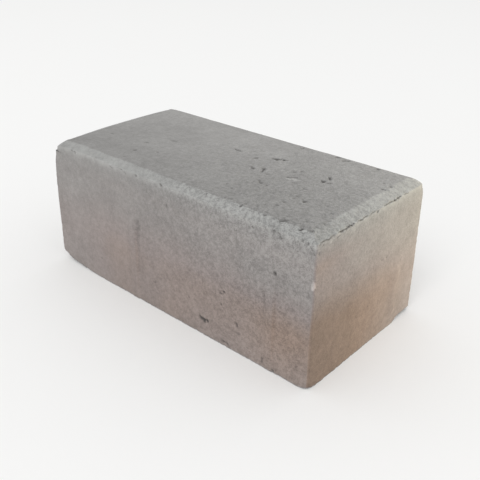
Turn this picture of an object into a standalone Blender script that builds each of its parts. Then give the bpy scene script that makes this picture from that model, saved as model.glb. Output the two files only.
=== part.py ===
"""A rectangular concrete paving block of the 200 x 100 x 80 mm class, in metres with +Z up.

The block is pressed in one mould from two concretes. The backing concrete is most of its
depth and carries the spacer nibs. The facing layer is the thin top with the chamfered
wearing face. The origin is the middle of the bedding face, and +X runs along the length.
"""

import math

import bmesh
import bpy
from mathutils import Matrix, Vector

# The pressed block, without its nibs. Length and width are those of the bedding face.
LENGTH = 0.198
WIDTH = 0.0985
HEIGHT = 0.082
END_DRAFT = 0.001  # how far each wall leans in from its foot to its shoulder, so that
SIDE_DRAFT = 0.0005  # the mould lifts off
CHAMFER_RUN = 0.0052  # across the wearing face
CHAMFER_DROP = 0.0026  # down the sides
CORNER_RADIUS = 0.0015  # of the upright corners
CORNER_SEGMENTS = 3

# The two concretes meet at one level. The solids stay this far apart there.
FACING_DEPTH = 0.008
LAYER_GAP = 0.0003

# The spacer nibs are low upright ribs with an upright crest. Each fades out at its top.
NIB_WIDTH = 0.0074
NIB_CREST_WIDTH = 0.0036
NIB_ROOT = 0.002  # how far a nib's blank reaches into the block
NIB_FADE = 0.009  # the sloping stretch at the top of a nib
SIDE_NIB_STAND = 0.00075  # how far the long sides' nibs stand out at the foot
SIDE_NIB_HEIGHT = 0.052
SIDE_NIBS_FROM_END = (0.025, 0.125)  # measured from the end on the viewer's right
END_NIB_STAND = 0.001
END_NIB_HEIGHT = 0.043
END_NIB_OFFSETS = (-0.0275, 0.0275)  # from the middle of the end

FACING_COLOUR = (0.265, 0.26, 0.253, 1.0)
BACKING_COLOUR = (0.262, 0.235, 0.217, 1.0)
CONCRETE_ROUGHNESS = 0.92

LEVEL_TOLERANCE = 1e-4


def clear_scene():
    for old in list(bpy.data.objects):
        bpy.data.objects.remove(old, do_unlink=True)


def concrete(name, colour):
    """A matt mineral material in one colour."""
    material = bpy.data.materials.new(name)
    material.use_nodes = True
    shader = material.node_tree.nodes["Principled BSDF"]
    shader.inputs["Base Color"].default_value = colour
    shader.inputs["Roughness"].default_value = CONCRETE_ROUGHNESS
    shader.inputs["Metallic"].default_value = 0.0
    return material


def add_object(name, form, material):
    """Puts a finished bmesh into the scene as a named object."""
    bmesh.ops.recalc_face_normals(form, faces=form.faces[:])
    mesh = bpy.data.meshes.new(name)
    form.to_mesh(mesh)
    form.free()
    mesh.materials.append(material)
    piece = bpy.data.objects.new(name, mesh)
    bpy.context.scene.collection.objects.link(piece)
    return piece


def box(form, size, centre):
    """Adds a box to the bmesh and returns its vertices."""
    place = Matrix.LocRotScale(Vector(centre), None, Vector(size))
    return bmesh.ops.create_cube(form, size=1.0, matrix=place)["verts"]


def pressed_block():
    """The whole block without nibs: drafted walls, a chamfer round the top, rounded upright corners."""
    form = bmesh.new()
    shoulder = HEIGHT - CHAMFER_DROP
    box(form, (LENGTH, WIDTH, shoulder), (0.0, 0.0, shoulder / 2))
    form.normal_update()
    top = [face for face in form.faces if face.normal.z > 0.9]
    for vertex in top[0].verts:
        vertex.co.x -= math.copysign(END_DRAFT, vertex.co.x)
        vertex.co.y -= math.copysign(SIDE_DRAFT, vertex.co.y)
    bmesh.ops.inset_region(
        form, faces=top, thickness=CHAMFER_RUN, depth=CHAMFER_DROP, use_even_offset=True
    )
    corners = [
        edge
        for edge in form.edges
        if abs(edge.verts[0].co.z - edge.verts[1].co.z) > LEVEL_TOLERANCE
    ]
    bmesh.ops.bevel(
        form,
        geom=corners,
        offset=CORNER_RADIUS,
        offset_type="OFFSET",
        affect="EDGES",
        segments=CORNER_SEGMENTS,
        profile=0.5,
        material=-1,
    )
    return form


def cut_level(form, level, keep_above):
    """Cuts the block level, drops one side and closes the cut."""
    cut = bmesh.ops.bisect_plane(
        form,
        geom=form.verts[:] + form.edges[:] + form.faces[:],
        plane_co=(0.0, 0.0, level),
        plane_no=(0.0, 0.0, 1.0),
        clear_inner=keep_above,
        clear_outer=not keep_above,
    )
    rim = [item for item in cut["geom_cut"] if isinstance(item, bmesh.types.BMEdge)]
    bmesh.ops.contextual_create(form, geom=rim)


def add_nib(form, wall, across, outward, stand, height):
    """Adds one nib's blank: `wall` is its foot on the wall, `across` and `outward` are unit directions."""
    place = Matrix((across, outward, (0.0, 0.0, 1.0))).transposed()
    depth = NIB_ROOT + stand
    blank = box(form, (NIB_WIDTH, depth, height), (0.0, (stand - NIB_ROOT) / 2, height / 2))
    for vertex in blank:
        if vertex.co.y > 0.0:
            vertex.co.x *= NIB_CREST_WIDTH / NIB_WIDTH
            if vertex.co.z > height / 2:
                vertex.co.z -= NIB_FADE
        vertex.co = place @ vertex.co + Vector(wall)


def nib_blanks():
    """All eight nibs. The block is the same when it is turned half round, so each wall has its twin."""
    form = bmesh.new()
    for turn in (1.0, -1.0):
        side_out = (0.0, -turn, 0.0)
        end_out = (turn, 0.0, 0.0)
        for from_end in SIDE_NIBS_FROM_END:
            wall = (turn * (LENGTH / 2 - from_end), -turn * WIDTH / 2, 0.0)
            add_nib(form, wall, (-turn, 0.0, 0.0), side_out, SIDE_NIB_STAND, SIDE_NIB_HEIGHT)
        for offset in END_NIB_OFFSETS:
            wall = (turn * LENGTH / 2, turn * offset, 0.0)
            add_nib(form, wall, (0.0, -turn, 0.0), end_out, END_NIB_STAND, END_NIB_HEIGHT)
    return form


def make_facing_layer():
    """The thin, finer concrete of the wearing face, with all of the chamfer."""
    form = pressed_block()
    cut_level(form, HEIGHT - FACING_DEPTH + LAYER_GAP / 2, keep_above=True)
    return add_object("facing_layer", form, concrete("facing_concrete", FACING_COLOUR))


def make_backing_concrete():
    """The coarser concrete under the facing, down to the bedding face, with the nibs moulded on."""
    form = pressed_block()
    cut_level(form, HEIGHT - FACING_DEPTH - LAYER_GAP / 2, keep_above=False)
    material = concrete("backing_concrete", BACKING_COLOUR)
    backing = add_object("backing_concrete", form, material)
    blanks = add_object("nib_blanks", nib_blanks(), material)
    blanks.hide_render = True
    blanks.display_type = "WIRE"
    union = backing.modifiers.new("nibs", "BOOLEAN")
    union.operation = "UNION"
    union.solver = "EXACT"
    union.object = blanks
    return backing


clear_scene()
make_backing_concrete()
make_facing_layer()
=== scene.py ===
import math
import random

import bmesh
import bpy
from mathutils import Matrix, Vector, kdtree, noise


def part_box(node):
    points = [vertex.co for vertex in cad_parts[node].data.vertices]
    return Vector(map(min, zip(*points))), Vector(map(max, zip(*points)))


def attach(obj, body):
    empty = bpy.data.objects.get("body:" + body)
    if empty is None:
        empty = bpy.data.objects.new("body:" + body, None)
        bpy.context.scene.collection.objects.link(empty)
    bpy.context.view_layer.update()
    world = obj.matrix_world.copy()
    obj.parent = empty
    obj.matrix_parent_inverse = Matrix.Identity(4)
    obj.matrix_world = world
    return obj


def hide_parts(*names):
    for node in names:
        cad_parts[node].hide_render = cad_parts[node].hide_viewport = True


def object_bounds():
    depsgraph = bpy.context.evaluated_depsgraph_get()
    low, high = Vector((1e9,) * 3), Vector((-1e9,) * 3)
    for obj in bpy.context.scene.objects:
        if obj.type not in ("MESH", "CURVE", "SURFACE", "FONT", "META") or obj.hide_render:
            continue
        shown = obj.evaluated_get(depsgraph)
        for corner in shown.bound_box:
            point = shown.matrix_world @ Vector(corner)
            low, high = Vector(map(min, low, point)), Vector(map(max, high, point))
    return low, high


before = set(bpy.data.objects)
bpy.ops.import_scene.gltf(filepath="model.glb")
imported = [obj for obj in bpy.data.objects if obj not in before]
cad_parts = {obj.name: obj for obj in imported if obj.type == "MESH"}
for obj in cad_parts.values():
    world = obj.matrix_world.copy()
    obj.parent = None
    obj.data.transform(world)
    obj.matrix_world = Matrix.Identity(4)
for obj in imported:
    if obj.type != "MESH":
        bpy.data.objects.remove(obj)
cad_low, cad_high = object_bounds()


# Backing concrete. Nine tenths of the block is this dry, coarse mix, vibrated into a steel mould.
# The mould's walls lean in a little so that it lifts off, which drags the concrete's walls smooth,
# and pockets in them press the spacer nibs. The arrises are what crumbles first.

MM = 0.001
_, backing_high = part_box("backing_concrete")
facing_low, facing_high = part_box("facing_layer")
SEAM = (backing_high.z + facing_low.z) / 2  # the level where the two concretes meet
HEIGHT = facing_high.z

SIDE_NIB_STAND = 0.75 * MM  # how far the nibs stand out from the foot of their wall
END_NIB_STAND = 1.0 * MM
FOOT_X = backing_high.x - END_NIB_STAND  # half the length and half the width at the foot
FOOT_Y = backing_high.y - SIDE_NIB_STAND
LEAN_X = (FOOT_X - facing_high.x) / facing_low.z  # how far the walls lean in, per unit of rise
LEAN_Y = (FOOT_Y - facing_high.y) / facing_low.z
CORNER_RADIUS = 1.2 * MM  # of the upright corners, before they are worn

CHAMFER_DROP = 2.6 * MM
SIDE_CHAMFER_RUN = 5.2 * MM
END_CHAMFER_RUN = 7.1 * MM
SHOULDER = HEIGHT - CHAMFER_DROP

BACKING_CELL = 0.85 * MM  # the size of the mesh cells on this piece

NIB_WIDTH = 7.4 * MM
NIB_CREST_WIDTH = 3.6 * MM
NIB_FADE = 9.0 * MM
SIDE_NIB_HEIGHT = 52.0 * MM
END_NIB_HEIGHT = 43.0 * MM
SIDE_NIBS_FROM_END = (25.0 * MM, 125.0 * MM)
END_NIB_OFFSET = 27.5 * MM
SIDE_NIB_SOFTNESS = 0.8 * MM  # how far a nib's flanks ease into the wall
END_NIB_SOFTNESS = 3.0 * MM
END_NIB_LEFT = 0.5  # what wear has left of the ends' nibs: one of each pair is nearly gone
END_NIB_NEARLY_GONE = 0.25
NIB_FOOT_LEFT = 0.3  # what wear has left of a nib where it meets the ground
NIB_FOOT_REACH = 9.0 * MM
NIB_GROOVE = 0.15 * MM  # the drag line down the flank of a nib
END_NIB_GROOVE_SHARE = 0.25

SKIN = 0.1 * MM  # a point this near to a wall or to the underside belongs to it
FULL_HOLLOW = 1.2 * MM  # the depth of pit that counts as 1 when painted shade and dirt are laid in it
PALE_STONE_STAND = 0.6 * MM  # how far a stone stands out, for a paleness of 1
GROUND_GAP = 0.03 * MM  # keeps the underside just clear of the ground
SHARP_ANGLE = math.radians(60.0)  # an edge that breaks by more than this isn't shaded smooth


def smooth(value, low, high):
    """0 at low, 1 at high, and an easy curve between them."""
    share = min(1.0, max(0.0, (value - low) / (high - low)))
    return share * share * (3.0 - 2.0 * share)


def near(distance, reach):
    """1 at no distance, about a third at the reach, and almost nothing at twice the reach."""
    return math.exp(-((distance / reach) ** 2))


def make_blank(cell, level, rows, rise):
    """A level sheet of square cells as large as the mould, its rim carried up or down in rows."""
    form = bmesh.new()
    bmesh.ops.create_grid(
        form,
        x_segments=round(2 * FOOT_X / cell),
        y_segments=round(2 * FOOT_Y / cell),
        size=1.0,
        matrix=Matrix.LocRotScale(Vector((0.0, 0.0, level)), None, Vector((FOOT_X, FOOT_Y, 1.0))),
    )
    rim = [edge for edge in form.edges if edge.is_boundary]
    for _ in range(rows):
        grown = bmesh.ops.extrude_edge_only(form, edges=rim)["geom"]
        corners = [item for item in grown if isinstance(item, bmesh.types.BMVert)]
        bmesh.ops.translate(form, verts=corners, vec=(0.0, 0.0, rise))
        rim = [item for item in grown if isinstance(item, bmesh.types.BMEdge) and item.is_boundary]
    return form


def press_outline(form):
    """Rounds the blank's upright corners and leans its walls in, as the mould does."""
    for vertex in form.verts:
        x, y, z = vertex.co
        across_x = (abs(x) - FOOT_X) / CORNER_RADIUS + 1.0
        across_y = (abs(y) - FOOT_Y) / CORNER_RADIUS + 1.0
        if across_x > 0.0 and across_y > 0.0:
            round_x = across_x * math.sqrt(1.0 - across_y * across_y / 2.0) - 1.0
            round_y = across_y * math.sqrt(1.0 - across_x * across_x / 2.0) - 1.0
            x = math.copysign(FOOT_X + CORNER_RADIUS * round_x, x)
            y = math.copysign(FOOT_Y + CORNER_RADIUS * round_y, y)
        vertex.co.x = x - x / FOOT_X * LEAN_X * z
        vertex.co.y = y - y / FOOT_Y * LEAN_Y * z


def depth_inside(place):
    """How far a point lies inside the block's outline, seen from above."""
    past_x = abs(place.x) - (FOOT_X - LEAN_X * place.z - CORNER_RADIUS)
    past_y = abs(place.y) - (FOOT_Y - LEAN_Y * place.z - CORNER_RADIUS)
    beyond = math.hypot(max(past_x, 0.0), max(past_y, 0.0))
    return CORNER_RADIUS - beyond - min(max(past_x, past_y), 0.0)


def nib_share(along, level, height, softness):
    """1 on a nib's crest and 0 clear of it. `along` is measured along the wall from the crest."""
    flank = smooth(NIB_WIDTH / 2 - abs(along), -softness, (NIB_WIDTH - NIB_CREST_WIDTH) / 2 + softness / 2)
    worn_foot = NIB_FOOT_LEFT + (1.0 - NIB_FOOT_LEFT) * smooth(level, 0.0, NIB_FOOT_REACH)
    return flank * worn_foot * smooth(height - level, 0.0, NIB_FADE)


def nib_flank(along, level, height):
    """1 along the foot of a nib's two flanks, where the mould drags the wall, and 0 elsewhere."""
    off_line = (abs(along) - NIB_WIDTH / 2) / (0.8 * MM)
    return math.exp(-off_line * off_line) * smooth(height + 3.0 * MM - level, 0.0, 8.0 * MM)


def mould_nibs(form):
    """Raises the nibs on the walls, and returns how strongly each vertex lies along a nib's flank.

    The block is the same when it is turned half round.
    """
    flanks = {}
    for vertex in form.verts:
        place = vertex.co.copy()
        if place.z < SKIN and depth_inside(place) > 2.0 * MM:
            continue
        turn = 1.0 if place.y < 0.0 else -1.0
        if abs(place.y) > FOOT_Y - LEAN_Y * place.z - SKIN:
            for from_end in SIDE_NIBS_FROM_END:
                along = turn * place.x - (FOOT_X - from_end)
                crest = backing_high.y - abs(place.y)
                share = nib_share(along, place.z, SIDE_NIB_HEIGHT, SIDE_NIB_SOFTNESS)
                vertex.co.y -= turn * crest * share
                flanks[vertex.index] = max(
                    flanks.get(vertex.index, 0.0), nib_flank(along, place.z, SIDE_NIB_HEIGHT)
                )
        if abs(place.x) > FOOT_X - LEAN_X * place.z - SKIN:
            along = abs(place.y) - END_NIB_OFFSET
            crest = backing_high.x - abs(place.x)
            left = END_NIB_NEARLY_GONE if place.x * place.y < 0.0 else END_NIB_LEFT
            share = left * nib_share(along, place.z, END_NIB_HEIGHT, END_NIB_SOFTNESS)
            vertex.co.x += math.copysign(crest * share, place.x)
            flanks[vertex.index] = END_NIB_GROOVE_SHARE * nib_flank(along, place.z, END_NIB_HEIGHT)
    return flanks


def rubbed_and_highlight_band(place):
    """About 1 on the chamfer, which feet have rubbed pale and which carries a painted highlight, fading
    out just below the shoulder.
    """
    on_end = FOOT_X - abs(place.x) < FOOT_Y - abs(place.y)
    run = END_CHAMFER_RUN if on_end else SIDE_CHAMFER_RUN
    ragged = (0.5 * noise.noise(place / (7.0 * MM)) + 0.35 * noise.noise(place / (2.0 * MM))) * MM
    inside_brow = smooth(run + 0.5 * MM + ragged - depth_inside(place), 0.0, 1.2 * MM)
    below_shoulder = max(0.0, SHOULDER - place.z)
    blotches = 0.82 + 0.3 * noise.noise(place / (5.0 * MM)) + 0.15 * noise.noise(place / (2.2 * MM))
    return inside_brow * near(below_shoulder, 2.2 * MM + ragged) * blotches


def coarseness(place):
    """How open the texture is: close at the left and at the back, sandy near the front corner."""
    to_right = smooth(place.x, -60.0 * MM, 70.0 * MM)
    to_front = smooth(-place.y, -FOOT_Y, 0.7 * FOOT_Y)
    below_shoulder = max(0.0, SHOULDER - place.z)
    rim = near(below_shoulder, 7.0 * MM) * smooth(9.0 * MM - depth_inside(place), 0.0, 5.0 * MM)
    on_wall = smooth(SHOULDER - place.z, -1.0 * MM, 2.0 * MM)
    on_end = smooth(place.x, FOOT_X - 3.0 * MM, FOOT_X - 1.2 * MM) * on_wall
    texture = 0.43 + 0.32 * to_right + 0.35 * to_right * to_front
    on_side = smooth(FOOT_X - abs(place.x) - FOOT_Y + abs(place.y), -1.0 * MM, 5.0 * MM)
    ragged_rim = rim * to_front * smooth(place.x, -20.0 * MM, 60.0 * MM) * (0.15 + 0.50 * on_side)
    return (texture + ragged_rim) * (1.0 - 0.42 * on_end)


def relief(place):
    """The ordinary unevenness of the pressed surface: slow waves, lumps and sand grains."""
    waves = 0.14 * noise.noise(place / (46.0 * MM)) + 0.07 * noise.noise(place / (12.0 * MM))
    grains = 0.055 * noise.noise(place / (2.6 * MM)) + 0.05 * noise.noise(place / (1.3 * MM))
    return (waves + coarseness(place) * grains) * MM


def drag_marks(place):
    """Fine upright scratches, left on the walls as the mould lifted off."""
    stretched = Vector((place.x / (1.4 * MM), place.y / (1.4 * MM), place.z / (24.0 * MM)))
    return 0.012 * MM * noise.noise(stretched)


def crumbs(place, size):
    """Ragged bites of about the given size, from 0 to about 1."""
    return max(0.0, 0.12 + 1.3 * noise.fractal(place / size, 1.0, 2.0, 3))


def crumbled(place):
    """How much the arrises and corners have lost at a point. They are worst towards the front corner."""
    depth = depth_inside(place)
    past_x = max(0.0, FOOT_X - LEAN_X * place.z - CORNER_RADIUS - abs(place.x))
    past_y = max(0.0, FOOT_Y - LEAN_Y * place.z - CORNER_RADIUS - abs(place.y))
    upright = math.hypot(past_x, past_y)
    towards_front = smooth(place.x, -10.0 * MM, 80.0 * MM) * smooth(-place.y, 0.0, FOOT_Y)
    state = 0.4 + 0.35 * noise.noise(place / (34.0 * MM)) + 0.8 * towards_front
    chamfer_run = END_CHAMFER_RUN if FOOT_X - abs(place.x) < FOOT_Y - abs(place.y) else SIDE_CHAMFER_RUN
    loss = 0.0
    shoulder = math.hypot(depth, place.z - SHOULDER)
    if shoulder < 6.0 * MM:
        loss += 0.48 * state * near(shoulder, 1.5 * MM) * crumbs(place, 1.9 * MM)
    brow = math.hypot(depth - chamfer_run, place.z - HEIGHT)
    if brow < 6.0 * MM:
        loss += 0.26 * state * near(brow, 1.7 * MM) * crumbs(place, 2.1 * MM)
    foot = math.hypot(depth, place.z)
    if foot < 8.0 * MM:
        loss += 0.05 * near(foot, 0.8 * MM) + 0.32 * near(foot, 1.4 * MM) * crumbs(place, 2.4 * MM)
    if upright < 8.0 * MM and depth < 6.0 * MM:
        loss += 0.22 * near(upright, 1.4 * MM) * crumbs(place, 2.6 * MM)
    return loss * MM


def dusted_and_warm_lit(place, normal):
    """How much ochre bedding sand, with painted warm light and shade, lies on the walls: most near the
    foot and at the right end, heaviest there towards the front corner.
    """
    upright = smooth(1.0 - abs(normal.z), 0.5, 0.9)
    low_down = 0.64 - 0.42 * smooth(place.z, 26.0 * MM, 64.0 * MM)
    low_down -= 0.16 * smooth(place.z, 66.0 * MM, 79.0 * MM)
    to_corner = 0.26 * near(place.z - 24.0 * MM, 14.0 * MM) * smooth(place.x, 50.0 * MM, 88.0 * MM)
    swept = 0.30 * near(place.z - 53.0 * MM, 9.0 * MM) * smooth(place.x, 45.0 * MM, 62.0 * MM)
    on_front = 0.72 + 0.28 * smooth(place.x, -90.0 * MM, -30.0 * MM) + to_corner - swept
    high_up = smooth(place.z, 48.0 * MM, 70.0 * MM) * smooth(-place.y, 5.0 * MM, 45.0 * MM)
    on_right = 1.72 - 0.75 * smooth(place.y, -FOOT_Y, FOOT_Y) + 1.2 * high_up
    elsewhere = 0.9
    to_front = smooth(-normal.y, 0.2, 0.9)
    to_right = smooth(normal.x, 0.2, 0.9)
    here = elsewhere + (on_front - elsewhere) * to_front + (on_right - elsewhere) * to_right
    return upright * low_down * here


def painted_light_and_shade(place, normal):
    """Painted light and shade: how much paler or darker each face is in broad patches, by the way it
    faces. The top is painted darker towards the front, the chamfer facing the front paler, the one facing
    the end darker, and the end darker low by the front corner.
    """
    on_top = -0.10 * smooth(normal.z, 0.5, 0.9) * smooth(-place.y, -0.6 * FOOT_Y, 0.7 * FOOT_Y)
    chamfered = smooth(normal.z, 0.6, 0.8)
    brow = 0.10 * chamfered * smooth(-normal.y, 0.25, 0.4) * smooth(place.x, -10.0 * MM, 50.0 * MM)
    brow -= chamfered * smooth(normal.x, 0.2, 0.3) * (0.05 + 0.03 * smooth(place.y, 10.0 * MM, 40.0 * MM))
    upper = smooth(place.x, 5.0 * MM, 45.0 * MM) * smooth(place.z, 52.0 * MM, 70.0 * MM)
    foot = smooth(place.x, 20.0 * MM, 60.0 * MM) * smooth(30.0 * MM - place.z, 0.0, 15.0 * MM)
    pale = 0.12 * upper + 0.045 * foot + 0.045 * smooth(-place.x, 30.0 * MM, 75.0 * MM)
    low = smooth(64.0 * MM - place.z, 0.0, 30.0 * MM)
    end_painted_shade = 0.04 + 0.21 * smooth(18.0 * MM - place.y, 0.0, 66.0 * MM)
    end_painted_shade -= 0.07 * smooth(place.y, 12.0 * MM, 45.0 * MM)
    to_front = smooth(-normal.y, 0.5, 0.95)
    to_right = smooth(normal.x, 0.5, 0.95)
    return on_top + brow + to_front * pale - to_right * low * end_painted_shade


def worn_corner(place, corner, reach, shift):
    """How far a point has moved where a corner is knocked round: most of all at the corner itself.

    The reach and the shift are in millimetres along the three axes.
    """
    off = place - corner
    share = 1.0 - Vector((off.x / reach[0], off.y / reach[1], off.z / reach[2])).length / MM
    return Vector(shift) * MM * share * share if share > 0.0 else Vector()


def mark_shares(tree, marks, fade):
    """Finds the points that lie in each mark, and how strongly. A mark is from, to, radius, strength."""
    for start, end, radius, strength in marks:
        run = end - start
        reach = run.length / 2 + 2.0 * radius
        for place, index, _ in tree.find_range((start + end) / 2, reach):
            strayed = place - start + 1.1 * radius * noise.noise_vector(place / (1.7 * MM))
            share = 0.0
            if run.length > 0.0:
                share = min(1.0, max(0.0, strayed.dot(run) / run.length_squared))
            off = (strayed - share * run).length / radius
            off *= 1.0 + 0.3 * noise.noise(place / (0.9 * MM))
            if off < 1.0:
                yield index, strength * (1.0 - off ** fade)


def weather(form, pits, pale_marks, flanks=None):
    """Gives the smooth casting its real surface, and keeps what happened at each point for its colour,
    together with the painted light and shade laid over it.
    """
    form.normal_update()
    form.verts.index_update()
    hollow = form.verts.layers.float.new("hollow")
    rubbed_and_highlight = form.verts.layers.float.new("rubbed_and_highlight")
    dust_and_warm_light = form.verts.layers.float.new("dust_and_warm_light")
    coarse = form.verts.layers.float.new("coarse")
    tone_and_painted_light = form.verts.layers.float.new("tone_and_painted_light")
    tree = kdtree.KDTree(len(form.verts))
    for vertex in form.verts:
        tree.insert(vertex.co, vertex.index)
    tree.balance()
    sunk = [0.0] * len(form.verts)
    for index, depth in mark_shares(tree, pits, 4):
        sunk[index] = max(sunk[index], depth)
    paled = [0.0] * len(form.verts)
    for index, strength in mark_shares(tree, pale_marks, 2):
        paled[index] = max(paled[index], strength)
    for vertex in form.verts:
        place = vertex.co.copy()
        upright = smooth(1.0 - abs(vertex.normal.z), 0.5, 0.9)
        crumbled_away = crumbled(place)
        dragged = NIB_GROOVE * flanks.get(vertex.index, 0.0) if flanks else 0.0
        # ochre dust on the walls, with painted warm light and shade
        vertex[dust_and_warm_light] = dusted_and_warm_lit(place, vertex.normal)
        vertex[rubbed_and_highlight] = rubbed_and_highlight_band(place)
        vertex[coarse] = coarseness(place)
        # the tone carries the pale stones and the painted light and shade of each face
        vertex[tone_and_painted_light] = paled[vertex.index] + painted_light_and_shade(place, vertex.normal)
        # painted shade and dirt in the pits, cracks, crumbled arrises and nib flanks
        shaded = sunk[vertex.index] + 0.35 * crumbled_away + 0.5 * dragged
        vertex[hollow] = shaded / FULL_HOLLOW
        lift = relief(place) + upright * drag_marks(place) + PALE_STONE_STAND * paled[vertex.index]
        loss = sunk[vertex.index] + crumbled_away + dragged
        vertex.co += vertex.normal * (lift - loss)
        for corner in WORN_CORNERS:
            vertex.co += worn_corner(place, *corner)
        vertex.co.z = max(GROUND_GAP, vertex.co.z)


def close_at_seam(form, rim):
    """Levels the rim at the seam and closes the casting with one flat face there."""
    for vertex in {corner for edge in rim for corner in edge.verts}:
        vertex.co.z = SEAM
    bmesh.ops.contextual_create(form, geom=rim)
    bmesh.ops.recalc_face_normals(form, faces=form.faces[:])


def add_piece(name, form, material):
    """Puts a finished bmesh into the scene, shaded smooth except where it breaks sharply."""
    mesh = bpy.data.meshes.new(name)
    form.to_mesh(mesh)
    form.free()
    mesh.shade_smooth()
    mesh.set_sharp_from_angle(angle=SHARP_ANGLE)
    mesh.materials.append(material)
    piece = bpy.data.objects.new(name, mesh)
    bpy.context.scene.collection.objects.link(piece)
    return piece


def add_node(tree, kind, inputs=None, **settings):
    """Adds a shader node. An input is given as a value, or as the socket that feeds it."""
    made = tree.nodes.new("ShaderNode" + kind)
    for name, value in settings.items():
        setattr(made, name, value)
    for name, value in (inputs or {}).items():
        if isinstance(value, bpy.types.NodeSocket):
            tree.links.new(value, made.inputs[name])
        else:
            made.inputs[name].default_value = value
    return made


def spread(tree, value, low, high, to_low, to_high):
    """Maps a value from one range to another, without going past its ends."""
    ranges = {"From Min": low, "From Max": high, "To Min": to_low, "To Max": to_high}
    return add_node(tree, "MapRange", {"Value": value, **ranges}).outputs["Result"]


def mix_colours(tree, mode, share, first, second):
    """Lays the second colour over the first, in the given way and strength."""
    inputs = {"Fac": share, "Color1": first, "Color2": second}
    return add_node(tree, "MixRGB", inputs, blend_type=mode).outputs["Color"]


def arithmetic(tree, operation, *values):
    """One step of arithmetic on values or sockets."""
    inputs = dict(enumerate(values))
    return add_node(tree, "Math", inputs, operation=operation).outputs["Value"]


def new_group(name, inputs, outputs):
    """An empty shader group with named sockets. Returns the group, its input node and its output node."""
    group = bpy.data.node_groups.new(name, "ShaderNodeTree")
    for label, kind in inputs:
        group.interface.new_socket(name=label, in_out="INPUT", socket_type="NodeSocket" + kind)
    for label, kind in outputs:
        group.interface.new_socket(name=label, in_out="OUTPUT", socket_type="NodeSocket" + kind)
    return group, group.nodes.new("NodeGroupInput"), group.nodes.new("NodeGroupOutput")


def make_sandy_grain():
    """Sand in cement: the height of the grains, and how light or dark each spot is."""
    group, given, made = new_group(
        "sandy_grain",
        [("Grain Scale", "Float")],
        [("Height", "Float"), ("Mottle", "Float"), ("Dark Specks", "Float"), ("Pale Specks", "Float")],
    )
    place = add_node(group, "TexCoord").outputs["Object"]
    scale = given.outputs["Grain Scale"]
    coarse = add_node(group, "Attribute", attribute_name="coarse").outputs["Fac"]
    jitter = add_node(group, "TexNoise", {"Vector": place, "Scale": 700.0, "Detail": 1.0}).outputs["Color"]
    ragged = add_node(group, "VectorMath", {0: jitter, "Scale": 3.0 * MM}, operation="SCALE")
    moved = {0: place, 1: ragged.outputs["Vector"]}
    shifted = add_node(group, "VectorMath", moved, operation="ADD").outputs["Vector"]
    fine = add_node(group, "TexNoise", {"Vector": place, "Scale": scale, "Detail": 3.0, "Roughness": 0.6})
    lumps = add_node(group, "TexNoise", {"Vector": place, "Scale": 560.0, "Detail": 2.0})
    clumps = add_node(group, "TexNoise", {"Vector": place, "Scale": 240.0, "Detail": 1.0})
    patches = add_node(
        group, "TexNoise", {"Vector": place, "Scale": 40.0, "Detail": 5.0, "Roughness": 0.62}
    )
    pores = add_node(group, "TexVoronoi", {"Vector": shifted, "Scale": 300.0})
    grit = add_node(group, "TexVoronoi", {"Vector": shifted, "Scale": 410.0})
    fine_level = spread(group, fine.outputs["Fac"], 0.3, 0.7, 0.0, 1.0)
    lump_level = spread(group, lumps.outputs["Fac"], 0.3, 0.7, 0.0, 1.0)
    clump_level = spread(group, clumps.outputs["Fac"], 0.3, 0.7, -0.11, 0.11)
    patch_level = spread(group, patches.outputs["Fac"], 0.3, 0.7, 0.0, 1.0)
    pore_here = spread(group, pores.outputs["Distance"], 0.06, 0.24, 0.8, 0.0)
    pore_kept = add_node(group, "SeparateColor", {"Color": pores.outputs["Color"]}).outputs["Red"]
    pore = arithmetic(group, "MULTIPLY", pore_here, spread(group, pore_kept, 0.93, 0.99, 0.0, 1.0))
    pore = arithmetic(group, "MULTIPLY", pore, coarse)
    grit_here = spread(group, grit.outputs["Distance"], 0.10, 0.32, 0.7, 0.0)
    grit_kept = add_node(group, "SeparateColor", {"Color": grit.outputs["Color"]}).outputs["Green"]
    grain = arithmetic(group, "MULTIPLY", grit_here, spread(group, grit_kept, 0.93, 0.99, 0.0, 0.6))
    sand = arithmetic(group, "MULTIPLY_ADD", fine_level, 0.80, -0.400)
    sand = arithmetic(group, "MULTIPLY_ADD", lump_level, 0.60, sand)
    sand = arithmetic(group, "SUBTRACT", sand, 0.30)
    mottle = arithmetic(group, "MULTIPLY_ADD", sand, coarse, 0.35)
    mottle = arithmetic(group, "MULTIPLY_ADD", patch_level, 0.34, mottle)
    mottle = arithmetic(group, "ADD", mottle, clump_level)
    height = arithmetic(group, "MULTIPLY_ADD", lump_level, 0.5, fine_level)
    height = arithmetic(group, "SUBTRACT", height, pore)
    height = arithmetic(group, "MULTIPLY", height, coarse)
    group.links.new(height, made.inputs["Height"])
    group.links.new(mottle, made.inputs["Mottle"])
    group.links.new(pore, made.inputs["Dark Specks"])
    group.links.new(grain, made.inputs["Pale Specks"])
    return group


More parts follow.
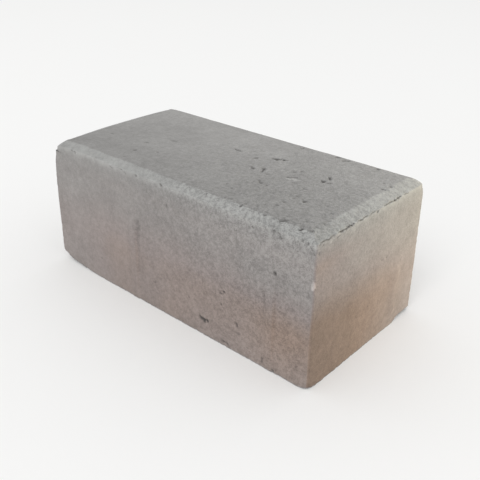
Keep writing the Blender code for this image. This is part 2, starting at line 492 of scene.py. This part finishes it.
def make_wall_dust_and_warm_light():
    """Ochre bedding sand rubbed into the walls, in soft clouds, with painted warm light and shade."""
    group, given, made = new_group(
        "wall_dust_and_warm_light",
        [("Colour", "Color"), ("Ochre Dust And Warm Light", "Color"), ("Thick Ochre And Warm Light", "Color")],
        [("Colour", "Color")],
    )
    place = add_node(group, "TexCoord").outputs["Object"]
    clouds = add_node(group, "TexNoise", {"Vector": place, "Scale": 17.0, "Detail": 3.0}).outputs["Fac"]
    thickness = spread(group, clouds, 0.3, 0.7, 0.85, 1.15)
    dust_and_warm_light_share = add_node(group, "Attribute", attribute_name="dust_and_warm_light").outputs["Fac"]
    share = arithmetic(group, "MULTIPLY", thickness, dust_and_warm_light_share)
    thick = spread(group, share, 0.55, 1.05, 0.0, 1.0)
    dusted_and_warm_lit = mix_colours(group, "MULTIPLY", share, given.outputs["Colour"], given.outputs["Ochre Dust And Warm Light"])
    dusted_and_warm_lit = mix_colours(group, "MULTIPLY", thick, dusted_and_warm_lit, given.outputs["Thick Ochre And Warm Light"])
    group.links.new(dusted_and_warm_lit, made.inputs["Colour"])
    return group


def make_wear_and_painted_light():
    """Rubbed arrises are paler than the flat faces, partly as a painted highlight; the tone scales the
    colour by each face's painted light and shade; pits and cracks are darkened with painted shade and
    dirt.
    """
    group, given, made = new_group(
        "wear_and_painted_light", [("Colour", "Color"), ("Rubbed And Highlight", "Color"), ("Shade And Dirt", "Color")], [("Colour", "Color")]
    )
    rubbed_and_highlight_here = add_node(group, "Attribute", attribute_name="rubbed_and_highlight").outputs["Fac"]
    hollow = add_node(group, "Attribute", attribute_name="hollow").outputs["Fac"]
    tone_and_painted_light = add_node(group, "Attribute", attribute_name="tone_and_painted_light").outputs["Fac"]
    rubbed_and_highlight = mix_colours(group, "MULTIPLY", rubbed_and_highlight_here, given.outputs["Colour"], given.outputs["Rubbed And Highlight"])
    brightness = arithmetic(group, "ADD", tone_and_painted_light, 1.0)
    scaled = {0: rubbed_and_highlight, "Scale": brightness}
    painted_light_toned = add_node(group, "VectorMath", scaled, operation="SCALE").outputs["Vector"]
    deep = spread(group, hollow, 0.12, 0.75, 0.0, 0.85)
    shaded_and_soiled = mix_colours(group, "MIX", deep, painted_light_toned, given.outputs["Shade And Dirt"])
    group.links.new(shaded_and_soiled, made.inputs["Colour"])
    return group


sandy_grain = make_sandy_grain()
wall_dust_and_warm_light = make_wall_dust_and_warm_light()
wear_and_painted_light = make_wear_and_painted_light()


def place_group(tree, group, inputs):
    """Places a shader group in a material, with that material's own values."""
    return add_node(tree, "Group", inputs, node_tree=group)


PORE_SHADE = (0.12, 0.115, 0.11, 1.0)
PALE_SAND = (0.42, 0.41, 0.39, 1.0)
DUST_AND_WARM_LIGHT = (1.0, 0.78, 0.74, 1.0)  # the dusts with their painted warm light, and the rubbing with its painted highlight, multiply the concrete's own colour
THICK_DUST_AND_WARM_LIGHT = (1.0, 0.97, 0.84, 1.0)
# paler rubbed arrises, with a painted highlight on the chamfer
RUBBED_AND_HIGHLIGHT = (1.30, 1.325, 1.325, 1.0)
# painted shade and dirt, laid into the pits, cracks and crumbled arrises
SHADE_AND_DIRT = (0.085, 0.081, 0.076, 1.0)


def make_concrete(name, dark, light, grain_scale, bump_depth):
    """Matt concrete: mottled cement, dark pores, pale sand, dusty walls with painted warm light, worn
    arrises with a painted highlight, painted light and shade by face, and painted shade with dirt in the
    pits.
    """
    material = bpy.data.materials.new(name)
    material.use_nodes = True
    tree = material.node_tree
    shader = tree.nodes["Principled BSDF"]
    grain = place_group(tree, sandy_grain, {"Grain Scale": grain_scale})
    colour = mix_colours(tree, "MIX", grain.outputs["Mottle"], dark, light)
    colour = mix_colours(tree, "MIX", grain.outputs["Dark Specks"], colour, PORE_SHADE)
    colour = mix_colours(tree, "MIX", grain.outputs["Pale Specks"], colour, PALE_SAND)
    dusty_and_warm_lit = place_group(tree, wall_dust_and_warm_light, {"Colour": colour, "Ochre Dust And Warm Light": DUST_AND_WARM_LIGHT, "Thick Ochre And Warm Light": THICK_DUST_AND_WARM_LIGHT})
    worn_inputs = {"Colour": dusty_and_warm_lit.outputs["Colour"], "Rubbed And Highlight": RUBBED_AND_HIGHLIGHT, "Shade And Dirt": SHADE_AND_DIRT}
    worn = place_group(tree, wear_and_painted_light, worn_inputs)
    tree.links.new(worn.outputs["Colour"], shader.inputs["Base Color"])
    tree.links.new(spread(tree, grain.outputs["Mottle"], 0.2, 0.8, 0.97, 0.86), shader.inputs["Roughness"])
    shader.inputs["Specular IOR Level"].default_value = 0.3
    relief_given = {"Height": grain.outputs["Height"], "Distance": bump_depth, "Strength": 0.7}
    bump = add_node(tree, "Bump", relief_given)
    tree.links.new(bump.outputs["Normal"], shader.inputs["Normal"])
    return material


def on_front(x, z):
    """A point on the front wall, in millimetres along it and up it."""
    return Vector((x * MM, -(FOOT_Y - LEAN_Y * z * MM), z * MM))


def on_end(y, z):
    """A point on the right end's wall, in millimetres along it and up it."""
    return Vector((FOOT_X - LEAN_X * z * MM, y * MM, z * MM))


def on_top(x, y):
    """A point on the wearing face, in millimetres along it and across it."""
    return Vector((x * MM, y * MM, HEIGHT))


# Air pores, torn-out grit and the lines beside the nibs on the two walls: from, to, radius and depth in
# millimetres. The depth also sets the painted shade laid in them, which draws the lines beside the nibs
# dark. The unseen walls and the underside get pores at random.
FRONT_PITS = [
    ((26.5, 10.8), (29.8, 9.0), 1.20, 1.54),
    ((31.6, 10.2), (31.9, 10.0), 0.96, 1.32),
    ((43.6, 33.3), (44.1, 32.8), 0.96, 1.32),
    ((41.2, 31.4), (42.6, 31.7), 0.60, 0.77),
    ((35.9, 29.9), (36.2, 29.6), 0.60, 0.44),
    ((41.8, 25.4), (41.8, 24.6), 0.72, 0.88),
    ((52.7, 17.6), (53.1, 16.2), 0.72, 0.99),
    ((48.2, 13.8), (49.0, 13.5), 0.72, 0.44),
    ((53.5, 12.9), (55.3, 11.8), 1.20, 0.44),
    ((43.6, 2.6), (43.8, 2.2), 0.96, 1.10),
    ((46.0, 2.7), (46.8, 2.5), 0.72, 0.66),
    ((66.7, 13.9), (67.0, 13.8), 0.60, 0.55),
    ((70.4, 5.5), (69.9, 2.2), 0.72, 0.66),
    ((77.0, 1.0), (77.6, 0.8), 0.84, 0.88),
    ((76.3, 56.9), (76.4, 56.6), 0.72, 0.99),
    ((2.9, 68.8), (2.9, 67.6), 0.60, 0.77),
    ((-8.5, 63.8), (-8.3, 63.4), 0.60, 0.44),
    ((17.0, 21.6), (17.3, 21.2), 0.60, 0.66),
    ((1.7, 6.4), (2.2, 6.2), 0.60, 0.66),
    ((-9.3, 17.5), (-8.9, 17.4), 0.72, 0.66),
    ((-58.0, 14.5), (-57.4, 14.3), 0.72, 0.55),
    ((60.0, 56.4), (60.8, 56.8), 0.72, 0.66),
    ((24.0, 53.0), (24.3, 52.8), 0.60, 0.55),
    ((-21.5, 51.2), (-21.6, 46.0), 1.75, 0.42),
    ((-21.6, 46.0), (-21.7, 36.0), 1.60, 0.32),
    ((-21.7, 36.0), (-21.9, 20.0), 1.40, 0.22),
    ((70.3, 46.0), (70.2, 28.0), 0.80, 0.32),
    ((77.0, 44.0), (77.1, 22.0), 0.70, 0.20),
]
END_PITS = [
    ((-46.8, 74.6), (-46.6, 74.2), 0.5, 0.6),
    ((10.0, 48.5), (11.5, 47.8), 0.5, 0.5),
    ((15.0, 47.5), (16.5, 48.2), 0.5, 0.5),
    ((-6.0, 30.5), (-5.6, 30.2), 0.5, 0.4),
    ((-22.0, 55.0), (-21.6, 54.6), 0.5, 0.4),
    ((33.0, 60.0), (33.5, 59.8), 0.5, 0.4),
]
wall_marks = []
for start, end, radius, depth in FRONT_PITS:
    wall_marks.append((on_front(*start), on_front(*end), radius * MM, depth * MM))
for start, end, radius, depth in END_PITS:
    wall_marks.append((on_end(*start), on_end(*end), radius * MM, depth * MM))

pore_random = random.Random(11)
for _ in range(24):
    back = Vector((pore_random.uniform(-92, 92) * MM, FOOT_Y, pore_random.uniform(3, 76) * MM))
    back.y -= LEAN_Y * back.z
    far_end = Vector((-FOOT_X, pore_random.uniform(-44, 44) * MM, pore_random.uniform(3, 76) * MM))
    far_end.x += LEAN_X * far_end.z
    under = Vector((pore_random.uniform(-94, 94) * MM, pore_random.uniform(-44, 44) * MM, 0.0))
    for place in (back, far_end, under):
        step = Vector([pore_random.uniform(-1.0, 1.0) * MM for _ in range(3)])
        radius = 0.95 * MM * pore_random.uniform(0.55, 1.0) ** 2
        wall_marks.append((place, place + step, radius, radius * pore_random.uniform(0.8, 1.4)))

# Corners and a stretch of the foot that are knocked away: where, how far that reaches along each
# axis, and how far the surface has gone at the middle of it. The last two are in millimetres.
WORN_CORNERS = [
    (Vector((FOOT_X, -FOOT_Y, 0.0)), (8.0, 8.0, 8.0), (-1.0, 1.0, 1.0)),
    (Vector((-FOOT_X, -FOOT_Y, 0.0)), (46.0, 16.0, 9.0), (1.0, 1.2, 2.6)),
    (Vector((-FOOT_X, -FOOT_Y, 0.0)), (8.0, 8.0, 8.0), (1.5, 0.6, 0.8)),
    (on_front(-FOOT_X / MM, 79.4), (36.0, 62.0, 36.0), (0.9, 0.9, -2.3)),
    (on_front(-FOOT_X / MM, 79.4), (14.0, 14.0, 14.0), (1.2, 1.2, -1.2)),
    (on_end(FOOT_Y / MM, 79.4), (8.0, 8.0, 8.0), (-1.1, -1.1, -1.1)),
    (Vector((-FOOT_X, FOOT_Y, SHOULDER)), (17.0, 17.0, 17.0), (1.7, -1.7, -1.5)),
    (Vector((FOOT_X, 38.0 * MM, 0.0)), (5.0, 9.0, 3.4), (-1.6, 0.0, 1.6)),
    (Vector((FOOT_X, 46.0 * MM, 0.0)), (5.0, 9.0, 3.4), (-1.6, -0.6, 1.9)),
]

# Bits of pale aggregate and freshly broken lips that show on the walls: from, to, radius, how pale.
wall_pale = [
    (on_front(-9.8, 46.0), on_front(-9.6, 46.1), 0.8 * MM, 0.22),
    (on_front(72.9, 29.3), on_front(73.1, 29.2), 0.8 * MM, 0.25),
    (on_front(71.4, 20.5), on_front(71.6, 20.3), 0.8 * MM, 0.25),
    (on_front(48.8, 31.0), on_front(50.1, 34.0), 0.7 * MM, 0.18),
    (on_front(98.0, 60.5), on_front(98.2, 57.0), 1.1 * MM, 0.75),
    (on_end(28.5, 4.0), on_end(28.5, 15.0), 0.9 * MM, 0.16),
]

wall_rows = round(SEAM / BACKING_CELL)
backing_form = make_blank(BACKING_CELL, 0.0, wall_rows, SEAM / wall_rows)
bmesh.ops.recalc_face_normals(backing_form, faces=backing_form.faces[:])
press_outline(backing_form)
backing_form.verts.index_update()
nib_flanks = mould_nibs(backing_form)
backing_rim = [edge for edge in backing_form.edges if edge.is_boundary]
weather(backing_form, wall_marks, wall_pale, nib_flanks)
close_at_seam(backing_form, backing_rim)

BACKING_DARK = (0.213, 0.209, 0.203, 1.0)
BACKING_LIGHT = (0.340, 0.335, 0.326, 1.0)
backing_material = make_concrete(
    "backing_concrete", BACKING_DARK, BACKING_LIGHT, grain_scale=1500.0, bump_depth=0.32 * MM
)
backing = add_piece("backing", backing_form, backing_material)
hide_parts("backing_concrete")
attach(backing, "root")


# Facing layer. A thin course of finer concrete is struck on top of the backing while both are wet,
# and the press's stamp gives it the flat wearing face and the chamfer round it. It has no join
# that shows, but its arrises are crumbled, and a burr runs under the chamfer at one end.

FACING_CELL = 0.58 * MM
FACING_ROWS = 13
CHAMFER_SOFTNESS = 0.10  # share of the chamfer's run over which it eases into the wearing face


def stamp_chamfer(form, top_vertices):
    """Drops the sheet's margin to the shoulder. The chamfer is a little wider at the ends."""
    for vertex in top_vertices:
        past_end = FOOT_X - LEAN_X * SHOULDER - abs(vertex.co.x)
        past_side = FOOT_Y - LEAN_Y * SHOULDER - abs(vertex.co.y)
        towards_end = smooth(past_side - past_end, -2.0 * MM, 2.0 * MM)
        run = SIDE_CHAMFER_RUN + (END_CHAMFER_RUN - SIDE_CHAMFER_RUN) * towards_end
        left = 1.0 - depth_inside(vertex.co) / run
        eased = 0.5 * (left + math.sqrt(left * left + CHAMFER_SOFTNESS * CHAMFER_SOFTNESS))
        vertex.co.z = HEIGHT - CHAMFER_DROP * eased


# Pits and torn-out grit in the wearing face: from, to, radius and depth in millimetres.
TOP_PITS = [
    ((22.0, 15.4), (25.5, 17.4), 1.50, 1.32),
    ((28.0, 17.9), (28.4, 18.0), 1.30, 1.54),
    ((13.6, 8.4), (14.6, 9.8), 1.17, 0.77),
    ((20.0, -2.0), (24.0, -4.5), 1.04, 0.77),
    ((28.0, 0.4), (30.0, -4.4), 1.17, 0.88),
    ((34.0, -5.2), (34.6, -5.0), 0.78, 0.55),
    ((36.5, -14.6), (40.0, -16.8), 1.04, 0.66),
    ((43.4, -16.5), (43.8, -16.3), 1.04, 0.55),
    ((45.4, 9.8), (46.0, 10.4), 1.17, 0.66),
    ((43.0, 7.0), (43.4, 7.3), 0.78, 0.55),
    ((45.0, -1.0), (48.5, 1.5), 0.91, 0.99),
    ((51.2, -5.4), (53.2, -4.0), 0.65, 0.44),
    ((61.5, 13.8), (62.5, 11.0), 0.91, 0.99),
    ((61.0, 8.0), (62.5, 6.2), 1.04, 1.10),
    ((65.4, 6.8), (65.8, 7.0), 0.91, 0.77),
    ((60.8, -8.2), (61.4, -7.8), 0.91, 0.77),
    ((63.5, -20.5), (63.8, -20.3), 0.78, 0.55),
    ((69.3, -20.2), (70.4, -19.6), 1.04, 0.99),
    ((69.6, -24.0), (70.6, -23.6), 0.65, 0.55),
    ((63.0, -27.2), (63.3, -27.0), 0.91, 0.77),
    ((63.0, -32.2), (63.3, -32.0), 0.91, 0.77),
    ((27.4, -29.0), (27.8, -28.8), 0.78, 0.55),
    ((31.8, -26.2), (32.3, -26.0), 0.78, 0.55),
    ((33.0, -32.0), (33.4, -31.8), 0.78, 0.55),
    ((91.4, 24.8), (91.7, 25.2), 0.78, 0.77),
    ((89.9, 18.8), (90.2, 19.2), 0.78, 0.77),
    ((85.9, 26.8), (86.2, 27.2), 0.72, 0.66),
    ((-78.3, -18.7), (-77.6, -18.2), 1.17, 0.66),
    ((-50.0, -15.2), (-49.6, -15.0), 1.17, 0.88),
    ((-45.1, -28.6), (-44.7, -28.4), 1.04, 0.66),
    ((-41.2, -39.6), (-40.8, -39.4), 0.91, 0.55),
    ((-42.0, -2.6), (-38.0, -1.6), 1.04, 0.44),
    ((-33.2, -22.2), (-32.8, -22.0), 0.91, 0.66),
    ((8.0, -11.2), (8.4, -11.0), 0.91, 0.66),
    ((-4.0, 12.6), (1.0, 12.0), 0.98, 0.88),
    ((23.0, 40.4), (23.3, 41.4), 1.17, 0.99),
    ((46.4, 40.8), (46.8, 41.6), 1.17, 0.88),
    ((53.0, 40.0), (54.2, 40.6), 1.17, 0.88),
    ((72.6, 41.4), (74.0, 41.8), 0.90, 0.80),
]

# The finest torn-out grains crowd towards the front corner.
grain_random = random.Random(5)
for _ in range(90):
    x = 92.0 - 60.0 * grain_random.random() ** 1.4
    y = -42.0 + 26.0 * grain_random.random() ** 1.6
    radius = grain_random.uniform(0.45, 0.7)
    end_x = x + grain_random.uniform(-0.5, 0.5)
    TOP_PITS.append(((x, y), (end_x, y), radius, grain_random.uniform(0.25, 0.55)))

# Bites out of the chamfer, and out of the front wall's shoulder, most of them by the front corner.
CHAMFER_BITES = [
    ((50.2, -46.6), (50.8, -43.4), 0.8, 0.8),
    ((64.3, -44.7), (65.0, -44.3), 0.8, 0.8),
    ((69.6, -45.2), (70.4, -44.9), 0.9, 1.1),
    ((73.4, -45.0), (76.6, -42.2), 0.7, 0.9),
    ((76.4, -48.0), (77.2, -47.8), 0.9, 1.0),
    ((78.8, -46.2), (79.4, -45.6), 0.8, 1.0),
    ((85.6, -45.2), (86.4, -44.2), 0.9, 1.0),
    ((90.5, -43.0), (91.0, -42.6), 0.7, 0.8),
]
FRONT_SHOULDER_BITES = [
    ((73.8, 77.7), (74.6, 77.9), 0.7, 0.5),
    ((76.8, 78.0), (77.4, 77.6), 0.7, 0.5),
    ((78.0, 76.8), (78.9, 75.9), 0.6, 0.6),
    ((89.6, 79.0), (90.4, 78.6), 0.8, 0.6),
    ((93.0, 78.2), (93.6, 78.0), 0.6, 0.5),
    ((94.6, 77.4), (96.2, 76.0), 0.5, 0.4),
    ((96.2, 76.0), (97.8, 72.4), 0.5, 0.4),
    ((-78.9, 79.0), (-78.3, 78.8), 0.8, 0.6),
    ((-75.8, 78.4), (-75.2, 78.2), 0.8, 0.6),
    ((-42.4, 77.8), (-40.8, 77.6), 0.6, 0.5),
    ((-33.4, 78.6), (-32.4, 78.8), 0.7, 0.5),
    ((-29.6, 77.8), (-28.8, 77.4), 0.7, 0.5),
    ((-20.8, 79.0), (-20.2, 78.6), 0.8, 0.6),
    ((-1.8, 79.0), (-1.0, 78.8), 0.9, 0.7),
]

# The burr's crack runs along the shoulder of the end, opens and closes, and has crumbs below it.
END_CRACK = [
    ((-46.5, 78.9), (-43.0, 79.2), 0.45, 0.8),
    ((-43.0, 79.2), (-39.5, 78.6), 0.55, 1.0),
    ((-39.5, 78.6), (-35.5, 79.3), 0.45, 0.8),
    ((-31.5, 79.4), (-28.0, 78.7), 0.65, 1.2),
    ((-28.0, 78.7), (-24.2, 79.4), 0.75, 1.4),
    ((-24.2, 79.4), (-19.5, 78.9), 0.65, 1.3),
    ((-15.5, 79.3), (-12.5, 78.8), 0.45, 0.8),
    ((-12.5, 78.8), (-7.5, 79.4), 0.50, 0.9),
    ((-5.0, 79.0), (-1.5, 79.4), 0.45, 0.7),
    ((1.0, 78.2), (2.0, 78.0), 0.60, 0.8),
    ((8.0, 79.2), (12.0, 79.4), 0.45, 0.8),
    ((12.0, 79.4), (17.5, 78.8), 0.55, 1.0),
    ((17.5, 78.8), (22.5, 79.3), 0.90, 1.3),
    ((27.0, 79.2), (31.0, 78.9), 0.45, 0.7),
    ((-43.9, 77.4), (-43.4, 77.3), 0.60, 0.8),
    ((-32.6, 77.2), (-32.1, 77.1), 0.55, 0.7),
    ((-30.7, 77.4), (-30.2, 77.2), 0.55, 0.7),
]
facing_marks = list(wall_marks)
for start, end, radius, depth in TOP_PITS + CHAMFER_BITES:
    facing_marks.append((on_top(*start), on_top(*end), radius * MM, depth * MM))
for start, end, radius, depth in FRONT_SHOULDER_BITES:
    facing_marks.append((on_front(*start), on_front(*end), radius * MM, depth * MM))
for start, end, radius, depth in END_CRACK:
    facing_marks.append((on_end(*start), on_end(*end), radius * MM, depth * MM))

# Pale stones in the wearing face, and the rubbed lips on the front side of its larger pits.
TOP_STONES = [
    ((46.0, -3.2), (51.5, -1.0), 1.2, 0.30),
    ((-31.0, -21.8), (-30.2, -21.6), 1.2, 0.16),
    ((-53.8, -21.2), (-53.2, -21.0), 1.3, 0.14),
    ((-69.3, 10.4), (-68.7, 10.6), 1.3, 0.14),
    ((-0.8, 25.0), (-0.2, 25.2), 1.2, 0.12),
    ((-9.3, 34.0), (-8.7, 34.2), 1.2, 0.12),
    ((-0.3, -24.0), (0.3, -23.8), 1.1, 0.12),
    ((1.7, -33.0), (2.3, -32.8), 1.1, 0.12),
    ((9.6, -12.6), (10.4, -12.4), 1.0, 0.14),
    ((15.2, -29.5), (15.8, -29.4), 1.5, 0.14),
    ((62.3, -9.2), (63.0, -8.8), 1.0, 0.18),
    ((69.8, -22.0), (70.6, -21.8), 1.1, 0.18),
]
facing_pale = list(wall_pale)
for start, end, radius, share in TOP_STONES:
    facing_pale.append((on_top(*start), on_top(*end), radius * MM, share))
lip_side = Vector((0.7, -1.2, 0.0)) * MM
LIPPED_DEPTH = 0.65  # only the pits deeper than this have a lip, in millimetres
for start, end, radius, depth in TOP_PITS:
    if depth > LIPPED_DEPTH:
        facing_pale.append((on_top(*start) + lip_side, on_top(*end) + lip_side, 0.8 * MM, 0.13))
facing_pale.append((on_end(-38.4, 77.2), on_end(-37.6, 76.9), 0.9 * MM, 0.2))
facing_pale.append((on_end(-31.0, 80.3), on_end(-21.0, 80.2), 0.7 * MM, 0.25))

facing_form = make_blank(FACING_CELL, SHOULDER, FACING_ROWS, (SEAM - SHOULDER) / FACING_ROWS)
bmesh.ops.recalc_face_normals(facing_form, faces=facing_form.faces[:])
top_vertices = [vertex for vertex in facing_form.verts if vertex.co.z > SHOULDER - 0.01 * MM]
press_outline(facing_form)
stamp_chamfer(facing_form, top_vertices)
facing_rim = [edge for edge in facing_form.edges if edge.is_boundary]
weather(facing_form, facing_marks, facing_pale)
close_at_seam(facing_form, facing_rim)

FACING_DARK = (0.213, 0.209, 0.203, 1.0)
FACING_LIGHT = (0.340, 0.335, 0.326, 1.0)
facing_material = make_concrete(
    "facing_concrete", FACING_DARK, FACING_LIGHT, grain_scale=1600.0, bump_depth=0.28 * MM
)
facing = add_piece("facing", facing_form, facing_material)
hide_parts("facing_layer")
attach(facing, "root")


# The studio: a plain pale floor, an even pale surround and one large soft light in front and above.
# Two weaker lights reach only the block: a warm one by its right-hand end and one behind it.

floor_form = bmesh.new()
bmesh.ops.create_grid(floor_form, x_segments=1, y_segments=1, size=6.0)
floor_mesh = bpy.data.meshes.new("floor")
floor_form.to_mesh(floor_mesh)
floor_form.free()
floor_material = bpy.data.materials.new("pale_floor")
floor_material.use_nodes = True
floor_shader = floor_material.node_tree.nodes["Principled BSDF"]
floor_shader.inputs["Base Color"].default_value = (0.9, 0.9, 0.893, 1.0)
floor_shader.inputs["Roughness"].default_value = 1.0
floor_shader.inputs["Specular IOR Level"].default_value = 0.0
floor_mesh.materials.append(floor_material)
floor = bpy.data.objects.new("floor", floor_mesh)
bpy.context.scene.collection.objects.link(floor)

scene = bpy.context.scene
scene.view_settings.view_transform = "Standard"
world = bpy.data.worlds.new("studio")
world.use_nodes = True
world.node_tree.nodes["Background"].inputs["Color"].default_value = (1.0, 1.0, 1.0, 1.0)
world.node_tree.nodes["Background"].inputs["Strength"].default_value = 0.82
scene.world = world


def add_softbox(name, place, target, size, watts, colour):
    """A square soft light that faces its target."""
    light = bpy.data.lights.new(name, "AREA")
    light.shape = "SQUARE"
    light.size = size
    light.energy = watts
    light.color = colour
    lamp = bpy.data.objects.new(name, light)
    lamp.location = place
    lamp.rotation_mode = "QUATERNION"
    lamp.rotation_quaternion = (Vector(target) - Vector(place)).to_track_quat("-Z", "Y")
    lamp.visible_camera = False
    scene.collection.objects.link(lamp)
    return lamp


middle = (cad_low + cad_high) / 2
WHITE = (1.0, 1.0, 1.0)
WARM = (1.0, 0.90, 0.63)
add_softbox("key", (1.866, -5.127, 5.891), middle, size=4.6, watts=221.0, colour=WHITE)
side = add_softbox(
    "side", (0.21, 0.13, 0.075), (FOOT_X, 0.03, 0.04), size=0.13, watts=0.25, colour=WARM
)
behind = add_softbox(
    "behind", (0.0, 0.28, 0.20), (0.0, 0.02, 0.08), size=0.25, watts=0.26, colour=WHITE
)
block_only = bpy.data.collections.new("block_only")
block_only.objects.link(backing)
block_only.objects.link(facing)
side.light_linking.receiver_collection = block_only
behind.light_linking.receiver_collection = block_only

camera_data = bpy.data.cameras.new("camera")
camera_data.lens = 49.06
camera_data.sensor_width = 36.0
camera_data.clip_start = 0.01
camera = bpy.data.objects.new("camera", camera_data)
camera.location = (0.23635, -0.25594, 0.20968)
camera.rotation_mode = "QUATERNION"
camera_tilt = Matrix.Rotation(math.radians(0.82), 4, "Z").to_quaternion()
camera.rotation_quaternion = Vector((-0.586, 0.66663, -0.46065)).to_track_quat("-Z", "Y") @ camera_tilt
scene.collection.objects.link(camera)
scene.camera = camera
